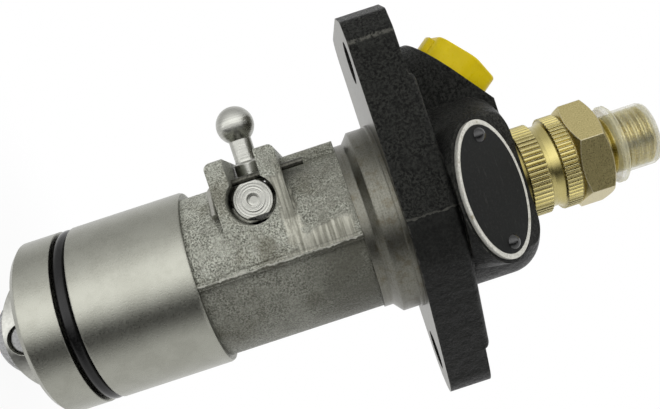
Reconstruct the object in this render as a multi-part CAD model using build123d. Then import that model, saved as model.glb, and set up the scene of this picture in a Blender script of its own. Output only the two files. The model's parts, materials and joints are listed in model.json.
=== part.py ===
from build123d import *
import os
from math import asin, atan2, cos, pi, radians, sin, sqrt, tan

# Flange-mounted single-cylinder diesel injection pump with a roller tappet.
# Origin: pump axis at the flange's mounting face. +Z runs to the delivery end, -X to the ball
# stud and the fuel inlet, -Y to the name plate. All lengths are in millimetres.

# ---- Fits ----
RUNNING_FIT = 0.03          # radial clearance of pieces that slide or turn in each other
SEAT_FIT = 0.05             # clearance of pieces that are seated in each other
PLAY = 0.3                  # clearance round pieces that only pass each other
BEYOND = 1.0                # how far a cut runs past the face that it opens
EDGE_BREAK = 0.4            # small chamfer on turned pieces

# ---- Flange and pilot ----
FLANGE_THICKNESS = 10.0
FLANGE_WAIST_RADIUS = 20.6
FLANGE_END_RADIUS = 9.4
FLANGE_TURN = 18.0          # degrees, the -X bolt swings towards -Y
FLANGE_EDGE_ROUND = 1.2
FLANGE_CORNER_X = -36.0     # centre of the round corner beyond the fuel inlet
FLANGE_CORNER_Y = 14.8
FLANGE_CORNER_RADIUS = 5.0
FLANGE_FACET_ROUND = 1.8    # corners between the cast flats of the -X bolt end
FLANGE_FACET_ANGLES = (170.0, 227.0, 254.0)
BOLT_CIRCLE = 65.0
BOLT_HOLE_RADIUS = 4.25
BOLT_SEAT_RADIUS = 11.5
BOLT_SEAT_DEPTH = 1.1
PILOT_RADIUS = 19.0
PILOT_LENGTH = 4.6
PILOT_LEAD_IN = 1.6
PILOT_RING_RADIUS = 19.25
PILOT_RING_LENGTH = 0.9
RELIEF_RADIUS = 17.1
RELIEF_LENGTH = 1.8

# ---- Neck and guide sleeve ----
NECK_RADIUS = 17.1          # the mould half that carries the ears
NECK_MISMATCH = 0.35        # the other mould half is smaller by this
NECK_FLAT = 16.2            # distance of the flat below the ears from the axis
NECK_PAD = 18.1             # distance of the pad above the ears from the axis
NECK_PAD_WIRE_GAP = 2.8     # pad's side to the lock wire
SEAM_OFFSET = 1.0           # the mould seam lies this far to +X
SEAM_WIDTH = 1.5
SEAM_HEIGHT = 0.35
SLEEVE_TOP = -40.2
SLEEVE_LENGTH = 34.3
SLEEVE_RADIUS = 18.0
SLEEVE_CHAMFER = 1.1
SLEEVE_LIP = 0.5
O_RING_SECTION = 2.65
O_RING_SINK = 0.1           # the ring lies this far below the sleeve's surface
O_RING_GROOVE_WIDTH = 3.2
O_RING_FROM_END = 8.2

# ---- Control rod, its boss and ball stud ----
TOOTH_MODULE = 0.8
SECTOR_TEETH = 23           # teeth on a whole turn of the control sleeve
SECTOR_SPAN = 66.0          # degrees of teeth each side of -X
TOOTH_BACKLASH = 0.15
TOOTH_ROOT_OVERLAP = 0.2    # the teeth start this far inside the root circle
TOOTH_FLANK = 20.0          # degrees
ROD_RADIUS = 4.0
ROD_PITCH_DEPTH = 2.4       # rod axis to the rack's pitch line
ROD_HEIGHT = -25.8
ROD_FRONT = -11.5
ROD_LENGTH = 28.0
ROD_TRAVEL_FRONT = 8.0
ROD_TRAVEL_REAR = 6.0
ROD_WIRE_FLAT = 0.45
ROD_CHAMFER = 0.2
ROD_CENTRE_HOLE = 1.2
ROD_CENTRE_DEPTH = 1.2
EAR_TOP = 20.6              # distance of the ears' tops from the pump axis
EAR_HALF_DEPTH = 16.0
EAR_BOTTOM = -32.5
EAR_UPPER = -18.8
EAR_ROUND = 1.4
ROD_MOUTH_RADIUS = 4.8
ROD_MOUTH_DEPTH = 8.5
STUD_SLOT_WIDTH = 6.1
STUD_PLACE = 3.0            # stud axis along Y
STUD_SHANK_RADIUS = 2.0
STUD_SHANK_DEPTH = 4.6
STUD_COLLAR_RADIUS = 2.85
STUD_COLLAR_LENGTH = 4.9
STUD_STEM_RADIUS = 2.35
BALL_RADIUS = 4.0
BALL_CENTRE = 28.0          # distance from the pump axis
WIRE_RADIUS = 0.72
WIRE_NECK_GAP = 1.0         # lets the wire's leg lean against the neck
WIRE_UPPER = -14.5
WIRE_LEG = 7.0
WIRE_BEND = 0.8

# ---- Upper body, inlet and name plate ----
BODY_RADIUS = 18.6
BODY_TOP = 25.6
BODY_SHOULDER = 6.5         # radius of the round shoulder
INLET_REACH = 23.8          # inlet face centre from the pump axis
INLET_SIDE = 4.5            # towards +Y, which leaves room for the flange bolt
INLET_HEIGHT = 19.8
INLET_TILT = 37.3           # degrees from +Z towards -X
INLET_BOSS_RADIUS = 9.2
INLET_THREAD_RADIUS = 6.6
INLET_THREAD_DEPTH = 11.0
INLET_DUCT_RADIUS = 3.0
DUCT_OVERLAP = 1.8          # how far the duct breaks into the gallery
PLATE_HALF_LENGTH = 13.4
PLATE_HALF_WIDTH = 8.5
PLATE_THICKNESS = 0.8
PLATE_TILT = 52.0           # degrees from +Z towards -Y
PLATE_ACROSS = 0.6          # plate centre along X
PLATE_FORWARD = 17.0        # plate centre from the pump axis, towards -Y
PLATE_HEIGHT = 17.8
PLATE_BOSS_MARGIN = 0.7
PLATE_BOSS_PROUD = 0.6
RIVET_HEAD_RADIUS = 1.5
RIVET_HEAD_HEIGHT = 1.0
RIVET_SHANK_RADIUS = 0.8
RIVET_SHANK_DEPTH = 3.0
RIVET_INSET = 3.0
RIVET_OFFSET = 0.5          # the rivets sit this far up the slope from the plate's middle

# ---- Pumping element ----
PLUNGER_RADIUS = 3.5
PLUNGER_TOP = -2.0
PLUNGER_LUG_REACH = 7.1
PLUNGER_LUG_WIDTH = 3.1
PLUNGER_LUG_HEIGHT = 3.0
PLUNGER_LUG_BOTTOM = -47.5
PLUNGER_NECK_RADIUS = 2.5
STOP_GROOVE_WIDTH = 1.6
STOP_GROOVE_DEPTH = 1.0
CONTROL_EDGE_DROP = 8.0     # slanted groove's middle below the plunger's top
CONTROL_EDGE_WIDTH = 4.0
CONTROL_EDGE_SLOPE = 35.0   # degrees
PLUNGER_FOOT_RADIUS = 4.6
PLUNGER_FOOT_HEIGHT = 2.0
BARREL_RADIUS = 6.5
BARREL_COLLAR_RADIUS = 7.8
BARREL_TOP = 9.0
BARREL_SHOULDER = -8.0
BARREL_BOTTOM = -34.0
PORT_RADIUS = 1.25
GALLERY_RADIUS = 10.6
GALLERY_HALF_HEIGHT = 4.0
LOCATING_PIN_RADIUS = 1.25
LOCATING_PIN_HEIGHT = 6.5
LOCATING_PIN_GRIP = 3.2
LOCATING_GROOVE_DEPTH = 1.0
CONTROL_SLEEVE_TOP = -19.5
CONTROL_SLEEVE_BOTTOM = -48.0
CONTROL_SLEEVE_TUBE = 7.35
CONTROL_SLEEVE_COLLAR = 1.75
SECTOR_FACE = 6.0
CONTROL_CHAMBER_TOP = -18.0
CONTROL_CHAMBER_MARGIN = 0.5

# ---- Tappet, spring and seats ----
TAPPET_RADIUS = 13.3
TAPPET_BOTTOM = -78.8
TAPPET_TOP = -52.0
TAPPET_END_RADIUS = 21.0
TAPPET_LIFT = 9.0
TAPPET_CUP_RADIUS = 11.4
SEAT_LEDGE = -60.0
LOWER_SEAT_THICKNESS = 1.8
UPPER_SEAT_THICKNESS = 1.5
UPPER_SEAT_TOP = -37.0
SPRING_WIRE = 2.2
SPRING_MEAN_RADIUS = 8.95
SPRING_TURNS = 4.5
SPRING_CHAMBER_RADIUS = 11.4
TAPPET_BORE_TOP = -42.0
ROLLER_RADIUS = 8.3
ROLLER_HALF_WIDTH = 6.0
ROLLER_AXIS = -75.2
ROLLER_PIN_RADIUS = 3.0
ROLLER_PIN_END = 12.3
ROLLER_BUSH_RADIUS = 4.9
ROLLER_EDGE = 0.6
GUIDE_PIN_RADIUS = 2.0
GUIDE_PIN_HEIGHT = -58.0
GUIDE_PIN_REACH = 11.8

# ---- Delivery valve and holder ----
VALVE_SEAT_FLANGE = 3.0
VALVE_SEAT_RADIUS = 5.4
VALVE_SEAT_HEIGHT = 8.0
VALVE_BORE_RADIUS = 3.0
VALVE_HEAD_RADIUS = 4.0
VALVE_HEAD_HEIGHT = 2.4
VALVE_STEM_LENGTH = 6.4
VALVE_FLUTES = 4
VALVE_FLUTE_RADIUS = 1.2
VALVE_FLUTE_PLACE = 2.55    # flute axis from the valve's axis
VALVE_GUIDE_LAND = 1.0      # unfluted stem under the head
VALVE_SPIGOT_HEIGHT = 1.2
GASKET_THICKNESS = 1.0
GASKET_INNER_RADIUS = 6.4
VALVE_SPRING_WIRE = 0.9
VALVE_SPRING_MEAN_RADIUS = 2.7
VALVE_SPRING_TURNS = 4.5
FILLER_RADIUS = 4.6
FILLER_STEM_RADIUS = 1.6
FILLER_STEM_LENGTH = 2.2
FILLER_HEAD_HEIGHT = 2.6
FILLER_BORE_RADIUS = 0.8
HOLDER_CAVITY_RADIUS = 5.7
HOLDER_CAVITY_TOP = 30.5
HOLDER_THREAD_RADIUS = 8.0
HOLDER_LEAD_IN = 0.7
HOLDER_NECK_RADIUS = 8.5
HOLDER_NECK = 0.8
LOWER_KNURL_LENGTH = 3.9
UPPER_KNURL_LENGTH = 3.0
LOWER_KNURL_RADIUS = 9.4
LOWER_KNURL_TEETH = 56
UPPER_KNURL_RADIUS = 9.6
UPPER_KNURL_TEETH = 64
KNURL_DEPTH = 0.42
WAIST_RADIUS = 8.5
WAIST_LENGTH = 3.0
WAIST_FLARE = 0.3
WAIST_CURVE = 1.1           # length over which the waist widens to each knurl
COLLAR_LENGTH = 0.3
HEX_ACROSS_FLATS = 19.0
HEX_HEIGHT = 6.6
HEX_TURN = 15.0             # degrees, corner nearest -Y swings towards -X
HEX_BEVEL_ANGLE = 30.0      # degrees
HEX_BEVEL_PAST_FLAT = 0.3
NIPPLE_THREAD_RADIUS = 6.0
NIPPLE_THREAD_PITCH = 1.5
NIPPLE_THREAD_DEPTH = 0.75
NIPPLE_THREADS = 6
NIPPLE_NECK_RADIUS = 6.3
NIPPLE_NECK = 1.4
NIPPLE_CREST = 0.24         # flat on each thread crest and root
NIPPLE_END_CHAMFER = 0.4
NIPPLE_TIP = 0.3            # plain end above the last thread
NIPPLE_CONE_ANGLE = 30.0    # degrees, half of the sealing cone
NIPPLE_BORE_RADIUS = 1.25
NIPPLE_CONE_RADIUS = 3.4

# ---- Transport caps ----
INLET_CAP_ACROSS = 15.0
INLET_CAP_HEIGHT = 4.9
INLET_CAP_CORNER = 3.0      # radius of the hexagon's round corners
INLET_CAP_TURN = 15.0       # degrees, corner nearest -Y swings towards +X
INLET_CAP_TAB_REACH = 8.7
INLET_CAP_TAB_HALF = 3.6
INLET_CAP_TAB_HEIGHT = 3.9
INLET_CAP_EDGE = 0.4
INLET_CAP_WALL = 1.2
INLET_CAP_PLUG = 6.0
THREAD_CAP_WALL = 0.42
THREAD_CAP_RIM_RADIUS = 8.1
THREAD_CAP_RIM = 1.6
THREAD_CAP_END = 0.6
THREAD_CAP_GAP = 2.2        # hexagon to the cap's rim
THREAD_CAP_ROUND = 1.0

# ---- Derived places ----
SLEEVE_END = SLEEVE_TOP - SLEEVE_LENGTH
RELIEF_END = -PILOT_LENGTH - PILOT_LEAD_IN - RELIEF_LENGTH
GROOVE_LOW = SLEEVE_END + O_RING_FROM_END
GROOVE_HIGH = GROOVE_LOW + O_RING_GROOVE_WIDTH
GROOVE_FLOOR = SLEEVE_RADIUS - O_RING_SINK - O_RING_SECTION - SEAT_FIT
PITCH_RADIUS = TOOTH_MODULE * SECTOR_TEETH / 2
TOOTH_PITCH = pi * TOOTH_MODULE
ADDENDUM = TOOTH_MODULE
DEDENDUM = 1.25 * TOOTH_MODULE
ROD_AXIS = -PITCH_RADIUS - ROD_PITCH_DEPTH
ROD_REAR = ROD_FRONT + ROD_LENGTH
RACK_TIPS = -PITCH_RADIUS + ADDENDUM
RACK_ROOTS = -PITCH_RADIUS - DEDENDUM
SECTOR_TIP_RADIUS = PITCH_RADIUS + ADDENDUM
SECTOR_ROOT_RADIUS = PITCH_RADIUS - DEDENDUM
CONTROL_CHAMBER_RADIUS = SECTOR_TIP_RADIUS + CONTROL_CHAMBER_MARGIN
WIRE_AXIS = ROD_AXIS - ROD_RADIUS + ROD_WIRE_FLAT - WIRE_RADIUS - SEAT_FIT
WIRE_PLACE = -sqrt((NECK_RADIUS + WIRE_RADIUS + WIRE_NECK_GAP) ** 2 - WIRE_AXIS**2)
NECK_PAD_HALF_WIDTH = -WIRE_PLACE - WIRE_RADIUS - NECK_PAD_WIRE_GAP
TAPPET_BORE_RADIUS = TAPPET_RADIUS + RUNNING_FIT
FOOT_FLOOR = SEAT_LEDGE - PLUNGER_FOOT_HEIGHT
SPRING_LOW = SEAT_LEDGE + LOWER_SEAT_THICKNESS
SPRING_HIGH = UPPER_SEAT_TOP - UPPER_SEAT_THICKNESS
VALVE_SEAT_TOP = BARREL_TOP + VALVE_SEAT_HEIGHT
HOLDER_BOTTOM = BARREL_TOP + VALVE_SEAT_FLANGE + GASKET_THICKNESS
LOWER_KNURL = BODY_TOP + HOLDER_NECK
UPPER_KNURL = LOWER_KNURL + LOWER_KNURL_LENGTH + WAIST_LENGTH
HEX_LOW = UPPER_KNURL + UPPER_KNURL_LENGTH + COLLAR_LENGTH
HEX_HIGH = HEX_LOW + HEX_HEIGHT
NIPPLE_LOW = HEX_HIGH + NIPPLE_NECK
NIPPLE_HIGH = NIPPLE_LOW + NIPPLE_THREADS * NIPPLE_THREAD_PITCH
NIPPLE_END = NIPPLE_HIGH + NIPPLE_TIP
HOLDER_TAP_RADIUS = HOLDER_THREAD_RADIUS + SEAT_FIT
INLET_OUT = Vector(-sin(radians(INLET_TILT)), 0, cos(radians(INLET_TILT)))
INLET_PLANE = Plane(origin=(-INLET_REACH, INLET_SIDE, INLET_HEIGHT), x_dir=(0, 1, 0), z_dir=INLET_OUT)
PLATE_PLANE = Plane(
    origin=(PLATE_ACROSS, -PLATE_FORWARD, PLATE_HEIGHT),
    x_dir=(1, 0, 0),
    z_dir=(0, -sin(radians(PLATE_TILT)), cos(radians(PLATE_TILT))),
)
PLATE_SEAT = PLATE_PLANE.offset(-PLATE_THICKNESS)


# ---- Shared shapes ----
def disc(radius, low, high):
    """Upright cylinder on the pump axis."""
    return Pos(0, 0, (low + high) / 2) * Cylinder(radius, high - low)


def ring(outer, inner, low, high):
    """Upright tube on the pump axis."""
    return disc(outer, low, high) - disc(inner, low - BEYOND, high + BEYOND)


def turned(*points):
    """Solid turned about the pump axis from (radius, height) points."""
    outline = Polyline(*[(r, 0, z) for r, z in points], close=True)
    return revolve(make_face(outline), Axis.Z)


def block(x0, x1, y0, y1, z0, z1):
    """Box between two opposite corners."""
    centre = Pos((x0 + x1) / 2, (y0 + y1) / 2, (z0 + z1) / 2)
    return centre * Box(x1 - x0, y1 - y0, z1 - z0)


def bar(radius, start, end):
    """Round bar between two points."""
    start = Vector(start)
    run = Vector(end) - start
    return extrude(Plane(origin=start, z_dir=run) * Circle(radius), run.length)


def coil(wire, mean_radius, low, high, turns):
    """Compression spring wire between two seats."""
    start = low + wire / 2 + SEAT_FIT
    height = high - low - wire - 2 * SEAT_FIT
    path = Pos(0, 0, start) * Helix(height / turns, height, mean_radius)
    section = Plane(path @ 0, z_dir=path % 0) * Circle(wire / 2)
    return sweep(section, path=path, is_frenet=True)


def both_bolts():
    """Places of the two flange bolts."""
    x = BOLT_CIRCLE / 2 * cos(radians(FLANGE_TURN))
    y = BOLT_CIRCLE / 2 * sin(radians(FLANGE_TURN))
    return [(x, y), (-x, -y)]


# ---- Housing ----
def flange_outline():
    """Waist, round +X bolt end, flat-sided -X bolt end and the corner beyond the inlet."""
    far_bolt, near_bolt = both_bolts()
    circles = [
        Circle(FLANGE_WAIST_RADIUS),
        Pos(*far_bolt) * Rot(0, 0, 180) * Circle(FLANGE_END_RADIUS),
        Pos(FLANGE_CORNER_X, FLANGE_CORNER_Y) * Circle(FLANGE_CORNER_RADIUS),
    ]
    reach = FLANGE_END_RADIUS - FLANGE_FACET_ROUND
    for angle in FLANGE_FACET_ANGLES:
        x = near_bolt[0] + reach * cos(radians(angle))
        y = near_bolt[1] + reach * sin(radians(angle))
        circles.append(Pos(x, y) * Circle(FLANGE_FACET_ROUND))
    return make_hull([c.edge() for c in circles])


def flange():
    """Cast plate with rounded back edges and milled seats for the bolt heads."""
    plate = extrude(flange_outline(), FLANGE_THICKNESS)
    plate = fillet(plate.faces().sort_by(Axis.Z)[-1].edges(), FLANGE_EDGE_ROUND)
    for x, y in both_bolts():
        plate -= Pos(x, y, FLANGE_THICKNESS) * Cylinder(BOLT_SEAT_RADIUS, 2 * BOLT_SEAT_DEPTH)
    return plate


def trunk():
    """Guide sleeve, neck and pilot."""
    small_neck = NECK_RADIUS - NECK_MISMATCH
    pilot_low = -PILOT_LENGTH
    body = turned(
        (0, SLEEVE_END),
        (SLEEVE_RADIUS - SLEEVE_CHAMFER, SLEEVE_END),
        (SLEEVE_RADIUS, SLEEVE_END + SLEEVE_CHAMFER),
        (SLEEVE_RADIUS, GROOVE_LOW),
        (GROOVE_FLOOR, GROOVE_LOW),
        (GROOVE_FLOOR, GROOVE_HIGH),
        (SLEEVE_RADIUS, GROOVE_HIGH),
        (SLEEVE_RADIUS, SLEEVE_TOP - SLEEVE_LIP),
        (SLEEVE_RADIUS - SLEEVE_LIP / 2, SLEEVE_TOP),
        (small_neck, SLEEVE_TOP),
        (small_neck, RELIEF_END),
        (RELIEF_RADIUS, RELIEF_END),
        (RELIEF_RADIUS, pilot_low - PILOT_LEAD_IN),
        (PILOT_RADIUS, pilot_low),
        (PILOT_RADIUS, -PILOT_RING_LENGTH),
        (PILOT_RING_RADIUS, -PILOT_RING_LENGTH),
        (PILOT_RING_RADIUS, FLANGE_THICKNESS / 2),
        (0, FLANGE_THICKNESS / 2),
    )
    ear_half = disc(NECK_RADIUS, SLEEVE_TOP, RELIEF_END)
    ear_half &= block(-2 * NECK_RADIUS, SEAM_OFFSET, -2 * NECK_RADIUS, 2 * NECK_RADIUS, SLEEVE_TOP, 0)
    seam_reach = NECK_RADIUS + SEAM_HEIGHT
    seam = block(
        SEAM_OFFSET - SEAM_WIDTH / 2, SEAM_OFFSET + SEAM_WIDTH / 2,
        -seam_reach, seam_reach, SLEEVE_TOP, RELIEF_END,
    )
    return body + ear_half + seam


def neck_flat_cut():
    """Casting is flattened under the ears."""
    return block(-2 * NECK_RADIUS, -NECK_FLAT, -NECK_RADIUS, NECK_RADIUS, SLEEVE_TOP, EAR_BOTTOM)


def rod_boss():
    """Pair of ears over the control rod and the pad above them."""
    ears = block(-EAR_TOP, 0, -EAR_HALF_DEPTH, EAR_HALF_DEPTH, EAR_BOTTOM, EAR_UPPER)
    long_edges = ears.edges().filter_by(Axis.Y).group_by(Axis.X)[0]
    ends = ears.edges().filter_by(Axis.Z).group_by(Axis.X)[0]
    ears = fillet(long_edges + ends, EAR_ROUND)
    half = NECK_PAD_HALF_WIDTH
    pad = block(-NECK_PAD, 0, -half, half, EAR_UPPER - EAR_ROUND, RELIEF_END)
    pad = fillet(pad.edges().filter_by(Axis.Z).group_by(Axis.X)[0], EAR_ROUND)
    return ears + pad


def rod_boss_cuts():
    """Rod bore with its mouth, the stud's slot and the lock wire's holes."""
    far = EAR_HALF_DEPTH + BEYOND
    front = (ROD_AXIS, -far, ROD_HEIGHT)
    bore = bar(ROD_RADIUS + RUNNING_FIT, front, (ROD_AXIS, far, ROD_HEIGHT))
    mouth = bar(ROD_MOUTH_RADIUS, front, (ROD_AXIS, ROD_MOUTH_DEPTH - EAR_HALF_DEPTH, ROD_HEIGHT))
    half_slot = STUD_SLOT_WIDTH / 2
    slot = block(-EAR_TOP - BEYOND, ROD_AXIS, -far, far, ROD_HEIGHT - half_slot, ROD_HEIGHT + half_slot)
    wire = bar(
        WIRE_RADIUS + SEAT_FIT,
        (WIRE_AXIS, WIRE_PLACE, EAR_BOTTOM - BEYOND),
        (WIRE_AXIS, WIRE_PLACE, EAR_UPPER + BEYOND),
    )
    return bore + mouth + slot + wire


def upper_body():
    """Round body, inlet arm and the oval boss of the name plate."""
    low = FLANGE_THICKNESS / 2
    core = disc(BODY_RADIUS, low, BODY_TOP)
    core = fillet(core.edges().sort_by(Axis.Z)[-1], BODY_SHOULDER)
    arm_outline = make_hull([
        (Pos(x, INLET_SIDE) * Circle(INLET_BOSS_RADIUS)).edge() for x in (0, -INLET_REACH)
    ])
    arm = Pos(0, 0, low) * extrude(arm_outline, BODY_TOP - low)
    body = core + arm
    reach = 4 * BODY_RADIUS
    above = Pos(0, 0, reach / 2) * Box(2 * reach, 2 * reach, reach)
    body -= INLET_PLANE * above
    body -= PLATE_SEAT.offset(-PLATE_BOSS_PROUD) * above
    boss_outline = Ellipse(PLATE_HALF_LENGTH + PLATE_BOSS_MARGIN, PLATE_HALF_WIDTH + PLATE_BOSS_MARGIN)
    boss = extrude(PLATE_SEAT * boss_outline, -BODY_RADIUS / 2)
    boss &= disc(2 * BODY_RADIUS, FLANGE_THICKNESS, BODY_TOP)
    return body + boss


def rivet_places():
    reach = PLATE_HALF_LENGTH - RIVET_INSET
    return [(-reach, RIVET_OFFSET), (reach, RIVET_OFFSET)]


def cross_hole(pin_radius, reach, height):
    """Hole for a seated pin, from the pump axis towards +Y."""
    return bar(pin_radius + SEAT_FIT, (0, 0, height), (0, reach, height))


def housing_bores():
    """Everything turned, drilled and tapped from the delivery end down to the tappet."""
    cuts = disc(HOLDER_TAP_RADIUS, BARREL_TOP, BODY_TOP + BEYOND)
    cuts += disc(BARREL_COLLAR_RADIUS + SEAT_FIT, BARREL_SHOULDER, BARREL_TOP)
    cuts += disc(GALLERY_RADIUS, -GALLERY_HALF_HEIGHT, GALLERY_HALF_HEIGHT)
    cuts += disc(BARREL_RADIUS + SEAT_FIT, CONTROL_CHAMBER_TOP, BARREL_SHOULDER)
    cuts += disc(CONTROL_CHAMBER_RADIUS, UPPER_SEAT_TOP, CONTROL_CHAMBER_TOP)
    cuts += disc(SPRING_CHAMBER_RADIUS, TAPPET_BORE_TOP, UPPER_SEAT_TOP)
    cuts += disc(TAPPET_BORE_RADIUS, SLEEVE_END - BEYOND, TAPPET_BORE_TOP)
    cuts += extrude(INLET_PLANE * Circle(INLET_THREAD_RADIUS), -INLET_THREAD_DEPTH)
    duct_end = (INLET_REACH - GALLERY_RADIUS + DUCT_OVERLAP) / sin(radians(INLET_TILT))
    cuts += extrude(INLET_PLANE * Circle(INLET_DUCT_RADIUS), -duct_end)
    cuts += cross_hole(LOCATING_PIN_RADIUS, BARREL_COLLAR_RADIUS + LOCATING_PIN_GRIP, LOCATING_PIN_HEIGHT)
    cuts += cross_hole(GUIDE_PIN_RADIUS, SLEEVE_RADIUS + BEYOND, GUIDE_PIN_HEIGHT)
    for x, y in both_bolts():
        cuts += Pos(x, y, FLANGE_THICKNESS / 2) * Cylinder(BOLT_HOLE_RADIUS, 2 * FLANGE_THICKNESS)
    for x, y in rivet_places():
        hole = PLATE_SEAT * Pos(x, y) * Circle(RIVET_SHANK_RADIUS + SEAT_FIT)
        cuts += extrude(hole, -RIVET_SHANK_DEPTH)
    return cuts


def pump_housing():
    casting = trunk() - neck_flat_cut()
    casting += rod_boss()
    casting += flange()
    casting += upper_body()
    return casting - rod_boss_cuts() - housing_bores()


# ---- Seals and pins ----
def pilot_o_ring():
    centre = GROOVE_FLOOR + O_RING_SECTION / 2 + SEAT_FIT
    middle = (GROOVE_LOW + GROOVE_HIGH) / 2
    return Pos(0, 0, middle) * Torus(centre, O_RING_SECTION / 2)


def barrel_locating_pin():
    start = BARREL_COLLAR_RADIUS - LOCATING_GROOVE_DEPTH + SEAT_FIT
    end = BARREL_COLLAR_RADIUS + LOCATING_PIN_GRIP - SEAT_FIT
    return bar(LOCATING_PIN_RADIUS, (0, start, LOCATING_PIN_HEIGHT), (0, end, LOCATING_PIN_HEIGHT))


def tappet_guide_pin():
    pin = bar(
        GUIDE_PIN_RADIUS,
        (0, GUIDE_PIN_REACH, GUIDE_PIN_HEIGHT),
        (0, SLEEVE_RADIUS, GUIDE_PIN_HEIGHT),
    )
    return pin & disc(SLEEVE_RADIUS - PLAY, SLEEVE_END, SLEEVE_TOP)


# ---- Control rod group ----
def rack_teeth():
    """Gaps between the rack's teeth, cut into the rod from the pump axis side."""
    half_gap = TOOTH_PITCH / 4 + TOOTH_BACKLASH / 2
    slope = tan(radians(TOOTH_FLANK))
    tip_half = half_gap + ADDENDUM * slope
    root_half = half_gap - DEDENDUM * slope
    gap = make_face(Polyline(
        (RACK_TIPS, -tip_half), (RACK_TIPS, tip_half),
        (RACK_ROOTS, root_half), (RACK_ROOTS, -root_half), close=True,
    ))
    contact = sqrt(SECTOR_TIP_RADIUS**2 - RACK_TIPS**2)
    before = int((ROD_TRAVEL_REAR + contact) / TOOTH_PITCH)
    behind = int((ROD_TRAVEL_FRONT + contact) / TOOTH_PITCH)
    low = ROD_HEIGHT - ROD_RADIUS
    return [
        Pos(0, i * TOOTH_PITCH, low) * extrude(gap, 2 * ROD_RADIUS)
        for i in range(-before, behind + 1)
    ]


def control_rod():
    rod = bar(ROD_RADIUS, (ROD_AXIS, ROD_FRONT, ROD_HEIGHT), (ROD_AXIS, ROD_REAR, ROD_HEIGHT))
    rod = chamfer(rod.edges().filter_by(GeomType.CIRCLE), ROD_CHAMFER)
    low = ROD_HEIGHT - ROD_RADIUS
    high = ROD_HEIGHT + ROD_RADIUS
    front = ROD_FRONT - BEYOND
    rear = ROD_REAR + BEYOND
    flat_face = ROD_AXIS - ROD_RADIUS + ROD_WIRE_FLAT
    rod -= block(RACK_TIPS, 0, front, rear, low, high)
    rod -= block(flat_face - ROD_RADIUS, flat_face, front, rear, low, high)
    for gap in rack_teeth():
        rod -= gap
    rod -= bar(
        STUD_SHANK_RADIUS + SEAT_FIT,
        (-EAR_TOP, STUD_PLACE, ROD_HEIGHT),
        (flat_face + STUD_SHANK_DEPTH, STUD_PLACE, ROD_HEIGHT),
    )
    centre = Pos(ROD_AXIS, ROD_FRONT, ROD_HEIGHT) * Rot(90, 0, 0)
    return rod - centre * Cylinder(ROD_CENTRE_HOLE, 2 * ROD_CENTRE_DEPTH)


def ball_stud():
    """Turned about the stud's own axis and laid along -X."""
    seat = -(ROD_AXIS - ROD_RADIUS + ROD_WIRE_FLAT)
    bottom = seat - STUD_SHANK_DEPTH + SEAT_FIT
    collar_top = seat + STUD_COLLAR_LENGTH
    ball_low = BALL_CENTRE - sqrt(BALL_RADIUS**2 - STUD_STEM_RADIUS**2)
    stud = turned(
        (0, bottom),
        (STUD_SHANK_RADIUS, bottom),
        (STUD_SHANK_RADIUS, seat),
        (STUD_COLLAR_RADIUS - EDGE_BREAK, seat),
        (STUD_COLLAR_RADIUS, seat + EDGE_BREAK),
        (STUD_COLLAR_RADIUS, collar_top - EDGE_BREAK),
        (STUD_COLLAR_RADIUS - EDGE_BREAK, collar_top),
        (STUD_STEM_RADIUS, collar_top + EDGE_BREAK),
        (STUD_STEM_RADIUS, ball_low + EDGE_BREAK),
        (0, ball_low + EDGE_BREAK),
    )
    stud += Pos(0, 0, BALL_CENTRE) * Sphere(BALL_RADIUS)
    return Pos(0, STUD_PLACE, ROD_HEIGHT) * Rot(0, -90, 0) * stud


def rod_lock_wire():
    """Wire through both ears, bent over the lower one and laid along the neck."""
    leg = EAR_BOTTOM - WIRE_RADIUS - SEAT_FIT
    inward = atan2(-WIRE_PLACE, -WIRE_AXIS)
    touch = (NECK_RADIUS + WIRE_RADIUS + 2 * SEAT_FIT) / sqrt(WIRE_AXIS**2 + WIRE_PLACE**2)
    lean = inward - asin(touch)
    path = FilletPolyline(
        (WIRE_AXIS + WIRE_LEG * cos(lean), WIRE_PLACE + WIRE_LEG * sin(lean), leg),
        (WIRE_AXIS, WIRE_PLACE, leg),
        (WIRE_AXIS, WIRE_PLACE, WIRE_UPPER),
        radius=WIRE_BEND,
    )
    return sweep(Plane(path @ 0, z_dir=path % 0) * Circle(WIRE_RADIUS), path=path)


def tooth_outline(index):
    """One tooth of the control sleeve's sector, as a straight-flanked outline."""
    slope = tan(radians(TOOTH_FLANK))
    half = TOOTH_PITCH / 4 - TOOTH_BACKLASH / 2
    tip_half = half - ADDENDUM * slope
    root_half = half + DEDENDUM * slope
    root = SECTOR_ROOT_RADIUS - TOOTH_ROOT_OVERLAP
    outline = make_face(Polyline(
        (SECTOR_TIP_RADIUS, -tip_half), (SECTOR_TIP_RADIUS, tip_half),
        (PITCH_RADIUS, half), (root, root_half),
        (root, -root_half), (PITCH_RADIUS, -half), close=True,
    ))
    return Rot(0, 0, 180 + 360 * index / SECTOR_TEETH) * outline


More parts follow.
